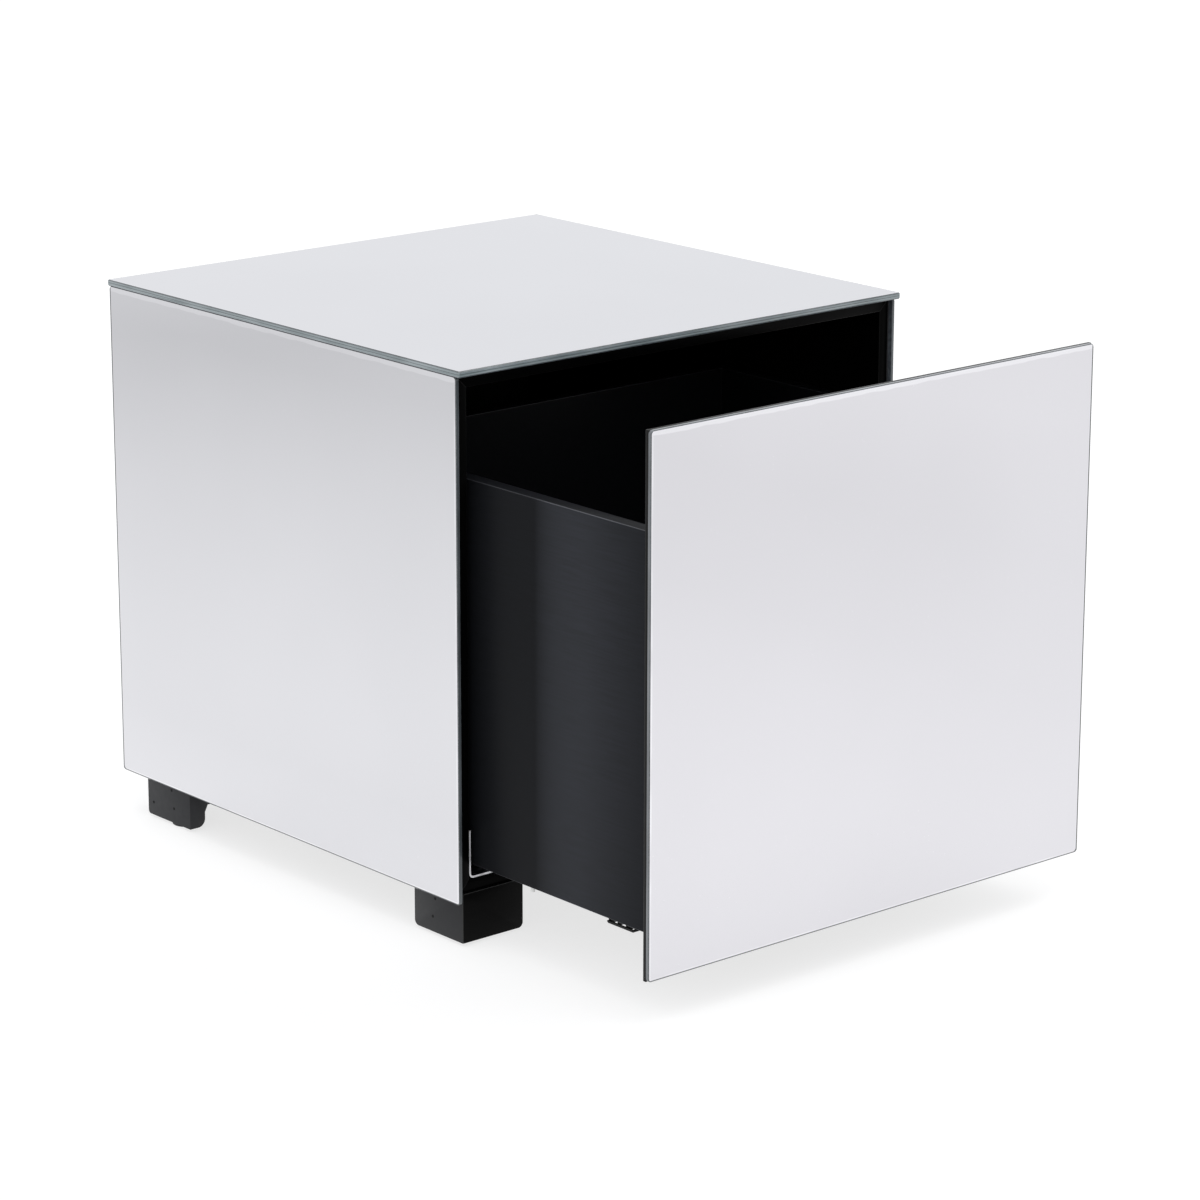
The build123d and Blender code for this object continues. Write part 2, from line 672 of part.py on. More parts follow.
LOWER_LEN = 120.0
LOWER_CLOSED_Y0 = 45.0
UPPER_LEN = 110.0
UPPER_CLOSED_Y0 = 52.0
LOWER_ROLLER_R = 1.7
UPPER_ROLLER_R = 2.0
LOWER_HALF_W = 9.0
UPPER_HALF_W = 11.0
LOWER_Z = (RAIL_HEAD_Z1 + MIDDLE_Z1 - THIN_STEEL_T) / 2
UPPER_Z = (MIDDLE_Z1 + PANEL_Z0 - THIN_STEEL_T) / 2

for side_name, side in SIDES.items():
    cabinet_profile(f"{side_name}_cabinet_profile", side)
    middle_profile(f"{side_name}_middle_profile", side)
    drawer_profile(f"{side_name}_drawer_profile", side)
    clip(f"{side_name}_front_clip", side)
    clip_lever(f"{side_name}_clip_lever", side)
    carriage(
        f"{side_name}_lower_carriage",
        side,
        LOWER_CLOSED_Y0 - OPEN_BY / 4,
        LOWER_LEN,
        LOWER_Z,
        LOWER_HALF_W,
        LOWER_ROLLER_R,
    )
    carriage(
        f"{side_name}_upper_carriage",
        side,
        UPPER_CLOSED_Y0 - OPEN_BY * 3 / 4,
        UPPER_LEN,
        UPPER_Z,
        UPPER_HALF_W,
        UPPER_ROLLER_R,
    )

with BuildPart() as runner_screws:
    for side in SIDES.values():
        heads = runner_screw_points(side)
        rods(heads, (-side, 0, 0), RUNNER_SCREW_HEAD_R, RUNNER_SCREW_HEAD_T)
        rods(heads, (side, 0, 0), RUNNER_SCREW_R, STEEL_T + RUNNER_SCREW_BITE)
keep(runner_screws, "runner_screws")


# ---------------------------------------------------------------- push latch
PLUNGER_R = 5.0
PLUNGER_EDGE_R = 1.5
PLUNGER_Z = DECK_Z + 42.0
PLUNGER_CLEAR = 0.5  # gap between the closed drawer and the plunger
PLUNGER_TIP_Y = DRAWER_Y1 + OPEN_BY + PLUNGER_CLEAR
PLUNGER_TAIL_Y = 308.0
LATCH_BORE_R = 5.4
LATCH_END_T = 4.0
LATCH_R = 6.0
LATCH_SCREW_RIM = 1.5
LATCH_SCREW_HEAD_T = 1.5

with BuildPart() as latch_housing:
    slab((-LATCH_HALF_W, LATCH_Y0, DECK_Z), (LATCH_HALF_W, LATCH_Y1, LATCH_TOP_Z))
    fillet(latch_housing.edges().filter_by(Axis.Y).group_by(Axis.Z)[-1], LATCH_R)
    flange_x = LATCH_HALF_W + LATCH_FLANGE
    slab((-flange_x, LATCH_Y0, DECK_Z), (flange_x, LATCH_Y1, DECK_Z + LATCH_FLANGE_T))
    bore = LATCH_Y1 - LATCH_Y0 - LATCH_END_T
    rods([(0, LATCH_Y0, PLUNGER_Z)], (0, 1, 0), LATCH_BORE_R, bore, mode=Mode.SUBTRACT)
    feet = [(x, y, DECK_Z) for x, y in latch_screw_points()]
    rods(feet, (0, 0, 1), LATCH_SCREW_R + FIT, LATCH_FLANGE_T, mode=Mode.SUBTRACT)
keep(latch_housing, "latch_housing")

with BuildPart() as latch_plunger:
    rods([(0, PLUNGER_TIP_Y, PLUNGER_Z)], (0, 1, 0), PLUNGER_R, PLUNGER_TAIL_Y - PLUNGER_TIP_Y)
    fillet(latch_plunger.edges().sort_by(Axis.Y)[0], PLUNGER_EDGE_R)
keep(latch_plunger, "latch_plunger")

with BuildPart() as latch_screws:
    tops = [(x, y, DECK_Z + LATCH_FLANGE_T) for x, y in latch_screw_points()]
    rods(tops, (0, 0, 1), LATCH_SCREW_R + LATCH_SCREW_RIM, LATCH_SCREW_HEAD_T)
    rods(tops, (0, 0, -1), LATCH_SCREW_R, LATCH_FLANGE_T + LATCH_SCREW_BITE)
keep(latch_screws, "latch_screws")


# ---------------------------------------------------------------- drawer box
PIN_R = 3.0
PIN_IN_SIDE = 8.0
PIN_LEN = 24.0
PIN_ZS = tuple(DRAWER_Z0 + up for up in (46.0, 126.0, 206.0, 276.0))
FRONT_MID_Y = DRAWER_Y0 + DRAWER_BOARD_T / 2
BACK_MID_Y = DRAWER_Y1 - DRAWER_BOARD_T / 2
FRONT_SCREW_R = 1.75
FRONT_SCREW_HEAD_R = 3.4
FRONT_SCREW_HEAD_T = 2.0
FRONT_SCREW_BITE = 9.0
FRONT_SCREW_XS = (-150.0, 0.0, 150.0)
FRONT_SCREW_ZS = (DRAWER_Z0 + 41.0, DRAWER_Z1 - 39.0)


def drawer_pins(radius, mode=Mode.ADD):
    """Dowels that join the drawer's sides to its inner front and back."""
    for side in SIDES.values():
        x = side * (DRAWER_IN_X + PIN_IN_SIDE)
        points = [(x, y, z) for y in (FRONT_MID_Y, BACK_MID_Y) for z in PIN_ZS]
        rods(points, (-side, 0, 0), radius, PIN_LEN, mode=mode)


def panel_limits():
    """Corners of the drawer's bottom panel, which is let into the sides and the front."""
    low = (-DRAWER_IN_X - GROOVE, DRAWER_Y0 + DRAWER_BOARD_T - GROOVE, PANEL_Z0)
    high = (DRAWER_IN_X + GROOVE, DRAWER_Y1, PANEL_Z0 + PANEL_T)
    return low, high


def front_screw_set(clearance, mode=Mode.ADD):
    """Countersunk screws through the front's backing board into the inner front."""
    backing_face_y = DRAWER_Y0 - FRONT_BACKING_T
    head_r = FRONT_SCREW_HEAD_R + clearance
    shank_r = FRONT_SCREW_R + clearance
    for x in FRONT_SCREW_XS:
        for z in FRONT_SCREW_ZS:
            with BuildSketch(Plane((x, backing_face_y, z), z_dir=(0, 1, 0))) as head:
                Circle(head_r)
            neck_y = backing_face_y + FRONT_SCREW_HEAD_T
            with BuildSketch(Plane((x, neck_y, z), z_dir=(0, 1, 0))) as neck:
                Circle(shank_r)
            loft([head.sketch, neck.sketch], mode=mode)
            length = FRONT_BACKING_T + FRONT_SCREW_BITE + clearance
            rods([(x, backing_face_y, z)], (0, 1, 0), shank_r, length, mode=mode)


STUD_R = 1.5
STUD_DROP = 4.5
STUD_LEN = 9.0
STUD_INSET = 4.0
STUD_Y = -174.0


def studs(radius, mode=Mode.ADD):
    """Nylon studs under the drawer's sides, which keep the drawer from dropping on the runners."""
    for side in SIDES.values():
        foot = (side * (DRAWER_OUT_X - STUD_INSET), STUD_Y, DRAWER_Z0 - STUD_DROP)
        rods([foot], (0, 0, 1), radius, STUD_LEN, mode=mode)


for side_name, side in SIDES.items():
    with BuildPart() as drawer_side:
        x0, x1 = sorted((side * DRAWER_IN_X, side * DRAWER_OUT_X))
        slab((x0, DRAWER_Y0, DRAWER_Z0), (x1, DRAWER_Y1, DRAWER_Z1))
        fillet(drawer_side.edges().filter_by(Axis.Y).group_by(Axis.Z)[-1], DRAWER_EDGE_R)
        slab(*panel_limits(), mode=Mode.SUBTRACT)
        drawer_pins(PIN_R + FIT, mode=Mode.SUBTRACT)
        studs(STUD_R + FIT, mode=Mode.SUBTRACT)
    keep(drawer_side, f"drawer_{side_name}_side")

with BuildPart() as drawer_studs:
    studs(STUD_R)
keep(drawer_studs, "drawer_studs")

with BuildPart() as drawer_inner_front:
    slab(
        (-DRAWER_IN_X, DRAWER_Y0, DRAWER_Z0),
        (DRAWER_IN_X, DRAWER_Y0 + DRAWER_BOARD_T, DRAWER_Z1),
    )
    slab(*panel_limits(), mode=Mode.SUBTRACT)
    drawer_pins(PIN_R + FIT, mode=Mode.SUBTRACT)
    front_screw_set(FIT, mode=Mode.SUBTRACT)
keep(drawer_inner_front, "drawer_inner_front")

with BuildPart() as drawer_back:
    slab(
        (-DRAWER_IN_X, DRAWER_Y1 - DRAWER_BOARD_T, PANEL_Z0 + PANEL_T),
        (DRAWER_IN_X, DRAWER_Y1, DRAWER_Z1),
    )
    drawer_pins(PIN_R + FIT, mode=Mode.SUBTRACT)
keep(drawer_back, "drawer_back")

with BuildPart() as drawer_bottom:
    slab(*panel_limits())
    for side in SIDES.values():
        points = clip_screw_points(side)
        rods(points, (0, 0, 1), CLIP_SCREW_R + FIT, CLIP_SCREW_LEN + OVERCUT, mode=Mode.SUBTRACT)
keep(drawer_bottom, "drawer_bottom")

with BuildPart() as drawer_dowels:
    drawer_pins(PIN_R)
keep(drawer_dowels, "drawer_dowels")

with BuildPart() as clip_screws:
    for side in SIDES.values():
        points = clip_screw_points(side)
        rods(points, (0, 0, 1), CLIP_SCREW_R, CLIP_SCREW_LEN)
        rods(points, (0, 0, -1), CLIP_SCREW_R + CLIP_SCREW_RIM, CLIP_SCREW_HEAD_T)
keep(clip_screws, "clip_screws")

# The push-on front: a mirror pane on a thin backing board that is screwed to the inner front.
with BuildPart() as drawer_front_mirror:
    slab(
        (-FRONT_HALF_W, DRAWER_FACE_Y, FRONT_Z0),
        (FRONT_HALF_W, DRAWER_FACE_Y + FRONT_GLASS_T, FRONT_Z1),
    )
    fillet(drawer_front_mirror.edges().filter_by(Axis.Y), GLASS_CORNER_R)
    chamfer(drawer_front_mirror.faces().sort_by(Axis.Y)[0].edges(), ARRIS)
keep(drawer_front_mirror, "drawer_front_mirror")

with BuildPart() as drawer_front_backing:
    slab(
        (-FRONT_HALF_W, DRAWER_Y0 - FRONT_BACKING_T, FRONT_Z0),
        (FRONT_HALF_W, DRAWER_Y0, FRONT_Z1),
    )
    fillet(drawer_front_backing.edges().filter_by(Axis.Y), GLASS_CORNER_R)
    front_screw_set(FIT, mode=Mode.SUBTRACT)
keep(drawer_front_backing, "drawer_front_backing")

with BuildPart() as front_screws:
    front_screw_set(0.0)
keep(front_screws, "front_screws")
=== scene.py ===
"""Looks for the mirror-clad cube side table: panes, boards, hardware, studio and camera.

Metres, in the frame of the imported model. Every piece takes its place from the boxes of the model's
nodes, and rides on the body of the node that it stands for.
"""

import json
import math

import bmesh
import bpy
from mathutils import Matrix, Vector


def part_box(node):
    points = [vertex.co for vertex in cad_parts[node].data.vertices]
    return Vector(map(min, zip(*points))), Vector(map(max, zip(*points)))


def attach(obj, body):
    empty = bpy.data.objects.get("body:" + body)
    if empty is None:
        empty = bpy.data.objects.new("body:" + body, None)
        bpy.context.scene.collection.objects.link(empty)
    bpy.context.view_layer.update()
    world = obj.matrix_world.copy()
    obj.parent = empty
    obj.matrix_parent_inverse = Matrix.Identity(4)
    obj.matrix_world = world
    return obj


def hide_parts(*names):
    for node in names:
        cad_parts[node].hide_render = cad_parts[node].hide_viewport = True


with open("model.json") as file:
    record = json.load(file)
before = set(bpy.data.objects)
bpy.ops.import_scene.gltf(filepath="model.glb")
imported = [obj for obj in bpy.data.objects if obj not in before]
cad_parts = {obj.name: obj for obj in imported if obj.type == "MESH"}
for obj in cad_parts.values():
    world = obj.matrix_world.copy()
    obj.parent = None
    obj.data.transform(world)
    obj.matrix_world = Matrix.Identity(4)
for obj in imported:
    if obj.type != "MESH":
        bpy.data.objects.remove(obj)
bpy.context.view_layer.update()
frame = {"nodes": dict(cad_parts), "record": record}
NODES = frame["nodes"]
BODY_OF = {node: body for body, nodes in frame["record"]["behaviour"]["bodies"].items() for node in nodes}
SLOT_OF = {part["node"]: part["material_slot"] for part in frame["record"]["subparts"]}
MM = 0.001


# ---------------------------------------------------------------- node graphs
class Graph:
    """One material's node graph, built with a call per node."""

    def __init__(self, name):
        self.material = bpy.data.materials.new(name)
        self.material.use_nodes = True
        self.tree = self.material.node_tree
        self.tree.nodes.clear()
        self.place = self.add("TexCoord").outputs["Object"]

    def add(self, kind, inputs=None, **settings):
        node = self.tree.nodes.new("ShaderNode" + kind)
        for key, value in settings.items():
            setattr(node, key, value)
        for key, value in (inputs or {}).items():
            if isinstance(value, bpy.types.NodeSocket):
                self.tree.links.new(value, node.inputs[key])
            else:
                node.inputs[key].default_value = value
        return node

    def noise(self, scale, detail=3.0, stretch=(1, 1, 1), rough=0.5):
        """Noise from 0 to 1 with its middle near 0.5. scale is in cycles per metre."""
        placed = self.add("Mapping", {"Vector": self.place, "Scale": stretch})
        inputs = {"Vector": placed.outputs[0], "Scale": scale, "Detail": detail, "Roughness": rough}
        return self.add("TexNoise", inputs).outputs["Fac"]

    def cells(self, scale):
        """Distance from the middle of the nearest of many scattered cells."""
        inputs = {"Vector": self.place, "Scale": scale}
        return self.add("TexVoronoi", inputs).outputs["Distance"]

    def math(self, operation, a, b=0.0):
        return self.add("Math", {0: a, 1: b}, operation=operation).outputs[0]

    def product(self, first, *others):
        for other in others:
            first = self.math("MULTIPLY", first, other)
        return first

    def span(self, value, low, high, to_low=0.0, to_high=1.0):
        """Maps low..high to to_low..to_high, held at the ends."""
        inputs = {"Value": value, "From Min": low, "From Max": high, "To Min": to_low, "To Max": to_high}
        return self.add("MapRange", inputs).outputs["Result"]

    def mix(self, factor, a, b):
        node = self.add("Mix", {"Factor": factor}, data_type="RGBA")
        for key, value in ((6, a), (7, b)):
            if isinstance(value, bpy.types.NodeSocket):
                self.tree.links.new(value, node.inputs[key])
            else:
                node.inputs[key].default_value = (*value, 1.0)
        return node.outputs[2]

    def axis(self, name):
        return self.add("SeparateXYZ", {"Vector": self.place}).outputs[name]

    def bump(self, height, strength, distance):
        return self.add("Bump", {"Height": height, "Strength": strength, "Distance": distance}).outputs[0]

    def finish(self, color, roughness, normal=None, **others):
        """Ends the graph in a Principled shader. others holds its other inputs, by socket name."""
        inputs = {"Base Color": color, "Roughness": roughness}
        if normal is not None:
            inputs["Normal"] = normal
        inputs.update({key.replace("_", " "): value for key, value in others.items()})
        shader = self.add("BsdfPrincipled", inputs)
        self.add("OutputMaterial", {"Surface": shader.outputs[0]})
        return self.material


def rgb(*values):
    """A colour given as three display values from 0 to 255."""
    return tuple(((v / 255 + 0.055) / 1.055) ** 2.4 if v > 10 else v / 255 / 12.92 for v in values)


def grey(value):
    """A neutral colour given as one linear value from 0 to 1."""
    return (value, value, value)


# ---------------------------------------------------------------- materials
PANE_CORNER = 3.0 * MM  # radius of a pane's corners
RIM_HIGHLIGHT_FULL = 1.9 * MM  # the painted highlight round the rim is whole up to here from the pane's edge
RIM_HIGHLIGHT_END = 2.6 * MM
EDGE_REFLECTION_SOFT = 0.3 * MM
BAND_SOFT = 0.4 * MM
BAND_WAVER = 0.5 * MM
SMUDGE = (0.5, 0.5, 0.52)
DUST = (0.93, 0.93, 0.95)
# Painted highlight: the colour of the bright lines along the panes' rims.
PAINTED_HIGHLIGHT = (0.95, 0.95, 0.98)
# Painted reflection: the grey of the ground edge as seen through a pane's glass.
PAINTED_EDGE_REFLECTION = (0.16, 0.165, 0.17)


def mirror_material(name, node, axes, ground_widths, tint, band):
    """Silvered glass: dust and smudges, painted highlights along the rim and a painted reflection of the
    ground edge.

    axes are the pane's two axes, the second of which is up the pane. A painted highlight runs all
    round the rim, and band is the width of a wider painted highlight along the top. Along two sides
    a grey line is painted as a reflection of the ground edge seen through the glass, which turns round
    their corner. ground_widths gives its width along each, by the side's number in the order low, high,
    low, high.
    """
    low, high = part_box(node)
    g = Graph(name)
    gaps = []
    for axis in axes:
        along = g.axis(axis)
        index = "XYZ".index(axis)
        gaps.append(g.math("SUBTRACT", along, low[index]))
        gaps.append(g.math("SUBTRACT", high[index], along))
    rim_gap = g.math("MINIMUM", g.math("MINIMUM", *gaps[:2]), g.math("MINIMUM", *gaps[2:]))
    patchy = g.span(g.noise(30.0, 2.0), 0.3, 0.6)
    # Painted highlight: a patchy bright line a little in from the rim.
    rim_highlight = g.product(g.span(rim_gap, RIM_HIGHLIGHT_FULL, RIM_HIGHLIGHT_END, 0.5, 0.0), patchy)

    # Painted reflection: a grey line along the two sides in ground_widths, the ground edge seen through
    # the glass, rounded at their corner.
    rises = [g.math("SUBTRACT", PANE_CORNER + width, gaps[side]) for side, width in ground_widths.items()]
    squares = [g.math("POWER", g.math("MAXIMUM", rise, 0.0), 2.0) for rise in rises]
    reach = g.math("SQRT", g.math("ADD", *squares))
    ground = g.span(g.math("SUBTRACT", reach, PANE_CORNER), -EDGE_REFLECTION_SOFT, 0.0)

    # Painted highlight: a wider bright band along the top, with a wavering lower edge.
    waver = g.span(g.noise(60.0, 1.0), 0.3, 0.7, -BAND_WAVER, BAND_WAVER)
    below_top = g.math("ADD", g.math("SUBTRACT", high["XYZ".index(axes[1])], g.axis(axes[1])), waver)
    top_highlight = g.span(below_top, band - BAND_SOFT, band + BAND_SOFT, 0.4, 0.0)

    smudged = g.mix(g.span(g.noise(5.0, 2.0), 0.35, 0.65, 0.0, 0.06), tint, SMUDGE)
    kept_specks = g.span(g.noise(90.0, 0.0), 0.62, 0.66)
    speck = g.product(g.span(g.cells(260.0), 0.06, 0.11, 1.0, 0.0), kept_specks)
    dusty = g.mix(g.product(speck, 0.35), smudged, DUST)
    color = g.mix(g.math("MAXIMUM", rim_highlight, top_highlight), dusty, PAINTED_HIGHLIGHT)
    color = g.mix(ground, color, PAINTED_EDGE_REFLECTION)
    film = g.span(g.noise(14.0, 4.0), 0.5, 0.8)
    rough = g.span(g.math("MAXIMUM", speck, film), 0.0, 1.0, 0.02, 0.09)
    return g.finish(color, rough, g.bump(g.noise(9.0, 1.0), 0.02, 0.002), Metallic=1.0)


def glass_edge_material(name, dark, light, stretch):
    """The ground edge of float glass: grey-green, with fine streaks along it."""
    g = Graph(name)
    streak = g.noise(900.0, 3.0, stretch)
    tone = g.math("ADD", g.product(streak, 0.5), g.product(g.noise(18.0, 2.0), 0.5))
    color = g.mix(g.span(tone, 0.4, 0.6), dark, light)
    rough = g.span(streak, 0.3, 0.7, 0.12, 0.28)
    return g.finish(color, rough, g.bump(streak, 0.15, 0.0003), Coat_Weight=0.4, Coat_Roughness=0.05)


def coated_board_material(name, dark, light, rough_low, rough_high, specular):
    """Fibreboard with a satin coat: slight orange peel, cloudy tone and a few dull rubbed places."""
    g = Graph(name)
    cloud = g.noise(7.0, 4.0)
    peel = g.noise(220.0, 4.0)
    color = g.mix(g.span(cloud, 0.35, 0.65), dark, light)
    rough = g.span(g.math("ADD", cloud, g.product(peel, 0.3)), 0.5, 0.8, rough_low, rough_high)
    rubbed = g.span(g.noise(40.0, 6.0, (1, 1, 6)), 0.62, 0.75, 0.0, 0.5)
    color = g.mix(g.product(rubbed, 0.25), color, tuple(2.2 * v for v in light))
    return g.finish(color, rough, g.bump(peel, 0.12, 0.0004), Specular_IOR_Level=specular)


def foil_material(name, dark, light, specular):
    """Dark decor foil: a faint straight grain along the board."""
    g = Graph(name)
    grain = g.noise(24.0, 6.0, (26, 1, 26), 0.6)
    color = g.mix(g.span(grain, 0.35, 0.65), dark, light)
    color = g.mix(g.span(g.noise(5.0, 3.0), 0.4, 0.7, 0.0, 0.35), color, light)
    rough = g.span(grain, 0.3, 0.7, 0.34, 0.48)
    return g.finish(color, rough, g.bump(grain, 0.1, 0.0003), Specular_IOR_Level=specular)


def steel_material(name, dark, light, rough_low, rough_high, metal=1.0, specular=0.5):
    """Plated or blackened steel: fine drawn lines front to back over a mottled surface."""
    g = Graph(name)
    lines = g.noise(40.0, 5.0, (40, 1, 40), 0.6)
    tone = g.math("ADD", g.product(lines, 0.6), g.product(g.cells(190.0), 0.5))
    color = g.mix(g.span(tone, 0.35, 0.75), dark, light)
    rough = g.span(lines, 0.3, 0.7, rough_low, rough_high)
    return g.finish(color, rough, g.bump(lines, 0.12, 0.0002), Metallic=metal, Specular_IOR_Level=specular)


def plastic_material(name, dark, light, rough_low, rough_high, specular=0.5):
    """Moulded plastic with a fine spark-eroded grain and slight flow marks."""
    g = Graph(name)
    grain = g.noise(700.0, 2.0)
    color = g.mix(g.span(g.noise(30.0, 3.0, (1, 0.3, 1)), 0.35, 0.65), dark, light)
    rough = g.span(grain, 0.3, 0.7, rough_low, rough_high)
    return g.finish(color, rough, g.bump(grain, 0.2, 0.0003), Specular_IOR_Level=specular)


def foam_material(name):
    """Closed-cell foam: pores and a dull grey skin."""
    g = Graph(name)
    pores = g.cells(1500.0)
    color = g.mix(g.span(pores, 0.1, 0.6), (0.012, 0.012, 0.013), (0.045, 0.045, 0.048))
    return g.finish(color, g.span(pores, 0.0, 0.7, 0.95, 0.8), g.bump(pores, 0.6, 0.0006))


def beech_material(name):
    """Turned beech: short dark flecks along a pale straight grain."""
    g = Graph(name)
    grain = g.noise(60.0, 5.0, (1, 14, 14), 0.6)
    flecks = g.span(g.noise(500.0, 2.0, (0.15, 1, 1)), 0.6, 0.7)
    color = g.mix(g.span(grain, 0.35, 0.65), rgb(188, 146, 104), rgb(216, 178, 134))
    color = g.mix(g.product(flecks, 0.6), color, rgb(140, 98, 62))
    return g.finish(color, g.span(grain, 0.3, 0.7, 0.5, 0.68), g.bump(grain, 0.25, 0.0004))


def paint_back_material(name):
    """Protective paint on the back of a mirror: matt grey with roller texture."""
    g = Graph(name)
    roller = g.noise(320.0, 4.0)
    color = g.mix(g.span(roller, 0.35, 0.65), rgb(74, 80, 86), rgb(98, 104, 110))
    return g.finish(color, g.span(roller, 0.3, 0.7, 0.5, 0.7), g.bump(roller, 0.3, 0.0004))


SILVER = (0.738, 0.737, 0.764)
# The front pane's silver is a darker copy of SILVER: painted shade.
SHADED_SILVER_FRONT = (0.708, 0.7, 0.73)
# Widths of the painted highlight along the top of each pane.
SIDE_BAND = 4.5 * MM
FRONT_BAND = 4.0 * MM
TOP_BAND = 1.5 * MM
# Widths of the painted reflection of the ground edge, by side.
PANE_EDGE_REFLECTION = {1: 1.7 * MM, 2: 1.1 * MM}
TOP_EDGE_REFLECTION = {1: 1.2 * MM, 3: 1.2 * MM}
silver = {}
for node, finish, axes, ground_widths, tint, band in (
    ("left_side_mirror", "silvered_left", "YZ", PANE_EDGE_REFLECTION, SILVER, SIDE_BAND),
    ("right_side_mirror", "silvered_right", "YZ", PANE_EDGE_REFLECTION, SILVER, SIDE_BAND),
    ("drawer_front_mirror", "silvered_front", "XZ", PANE_EDGE_REFLECTION, SHADED_SILVER_FRONT, FRONT_BAND),
    ("top_mirror", "silvered_top", "XY", TOP_EDGE_REFLECTION, SILVER, TOP_BAND),
):
    silver[node] = mirror_material(finish, node, axes, ground_widths, tint, band)

LEVEL = (0.02, 0.02, 1)  # streaks that run along a level edge
UPRIGHT = (1, 1, 0.02)
NO_GRAIN = (1, 1, 1)
# One ground glass edge in three tones, by pane: lit and shaded copies, painted light and shade. The top
# pane's edge takes the lightest, the side panes' the darkest and the front pane's the one between.
lit_glass_edge = glass_edge_material("lit_glass_edge", rgb(112, 124, 127), rgb(152, 162, 165), LEVEL)
shaded_glass_edge = glass_edge_material("shaded_glass_edge", rgb(66, 71, 74), rgb(92, 97, 101), UPRIGHT)
half_shaded_glass_edge = glass_edge_material("half_shaded_glass_edge", rgb(84, 87, 91), rgb(116, 119, 123), UPRIGHT)
glass_arris = glass_edge_material("glass_arris", rgb(66, 71, 73), rgb(98, 103, 106), NO_GRAIN)
paint_back = paint_back_material("mirror_back_paint")

# The carcass's black is a far darker copy of the feet's paint: painted shade on its front edges and
# inside.
shaded_board_black = coated_board_material("shaded_board_black", grey(0.0006), grey(0.0014), 0.34, 0.5, 0.03)
# Lighter than the carcass's black, for its eased edges: painted sheen. Darker than the back panel's black,
# for its edges and the backing's sides: painted shade.
board_edge_sheen_and_shade = coated_board_material("board_black_edge", grey(0.003), grey(0.006), 0.3, 0.42, 0.14)
panel_black = coated_board_material("panel_black", grey(0.009), grey(0.02), 0.36, 0.54, 0.36)
# A darker copy of the feet's paint for the front feet's cross boards, which face front: painted shade.
foot_front_shaded = coated_board_material("foot_front_shaded", grey(0.0015), grey(0.004), 0.3, 0.44, 0.05)
FOOT_DARK = (0.008, 0.0085, 0.01)
FOOT_LIGHT = (0.013, 0.014, 0.017)
foot_black = coated_board_material("foot_black", FOOT_DARK, FOOT_LIGHT, 0.42, 0.56, 0.34)
# A lighter copy of the feet's paint for their eased edges: painted sheen.
foot_edge_sheen = coated_board_material("foot_black_edge", grey(0.02), grey(0.035), 0.4, 0.5, 0.4)
foil = foil_material("drawer_foil", rgb(20, 21, 23), rgb(23, 24, 27), 0.05)
# A lighter copy of the foil for the drawer boards' eased edges: painted highlight.
foil_edge_sheen = foil_material("drawer_foil_edge", rgb(40, 41, 44), rgb(52, 53, 57), 0.3)

ZINC_DARK = (0.5, 0.5, 0.52)
ZINC_LIGHT = (0.8, 0.8, 0.82)
steel = steel_material("zinc_steel", (0.46, 0.47, 0.49), (0.72, 0.73, 0.75), 0.24, 0.42)
steel_cut = steel_material("zinc_steel_cut", ZINC_DARK, ZINC_LIGHT, 0.4, 0.55, 0.4)
steel_screw = steel_material("screw_steel", ZINC_DARK, ZINC_LIGHT, 0.2, 0.34)
black_steel = steel_material("black_steel", grey(0.003), grey(0.008), 0.4, 0.6, 0.2, 0.08)
black_plastic = plastic_material("black_plastic", rgb(9, 9, 10), rgb(16, 16, 17), 0.4, 0.54, 0.2)
grey_plastic = plastic_material("grey_plastic", rgb(150, 152, 156), rgb(170, 172, 176), 0.4, 0.55)
nylon = plastic_material("natural_nylon", rgb(214, 215, 214), rgb(232, 232, 230), 0.35, 0.5)
glide_plastic = plastic_material("glide_plastic", rgb(26, 26, 27), rgb(40, 40, 41), 0.45, 0.62)
foam = foam_material("foam_tape")
beech = beech_material("beech")

# Finishes of the nodes that keep the model's own shape, by their slot in the record
SLOT_MATERIAL = {
    "foam_tape": foam,
    "beech": beech,
    "zinc_steel": steel,
    "black_plastic": black_plastic,
    "grey_plastic": grey_plastic,
    "clear_nylon": nylon,
}


# ---------------------------------------------------------------- piece helpers
SAME_POINT = 2e-6  # vertices nearer than this are one
FACING = 0.9  # a face whose normal has this much of an axis faces along it


def stand_in(mesh, node, smooth_angle=35.0):
    """Makes an object of a finished mesh and lets it stand for a node of the model."""
    mesh.polygons.foreach_set("use_smooth", [True] * len(mesh.polygons))
    mesh.set_sharp_from_angle(angle=math.radians(smooth_angle))
    piece = bpy.data.objects.new(f"{node}_piece", mesh)
    bpy.context.scene.collection.objects.link(piece)
    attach(piece, BODY_OF[node])
    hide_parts(node)
    return piece


def mesh_from(bm, node, materials):
    bmesh.ops.recalc_face_normals(bm, faces=bm.faces)
    mesh = bpy.data.meshes.new(f"{node}_piece")
    bm.to_mesh(mesh)
    bm.free()
    for material in materials:
        mesh.materials.append(material)
    return mesh


def clean_copy(node):
    """The node's mesh with its seams closed and its flat faces joined up again."""
    bm = bmesh.new()
    bm.from_mesh(NODES[node].data)
    bmesh.ops.remove_doubles(bm, verts=bm.verts, dist=SAME_POINT)
    flat = math.radians(0.5)
    bmesh.ops.dissolve_limit(bm, angle_limit=flat, verts=bm.verts, edges=bm.edges, delimit={"NORMAL"})
    return bm


def clean_piece(node, materials):
    """A copy of a node with its mesh cleaned up and nothing else changed."""
    return stand_in(mesh_from(clean_copy(node), node, materials), node)


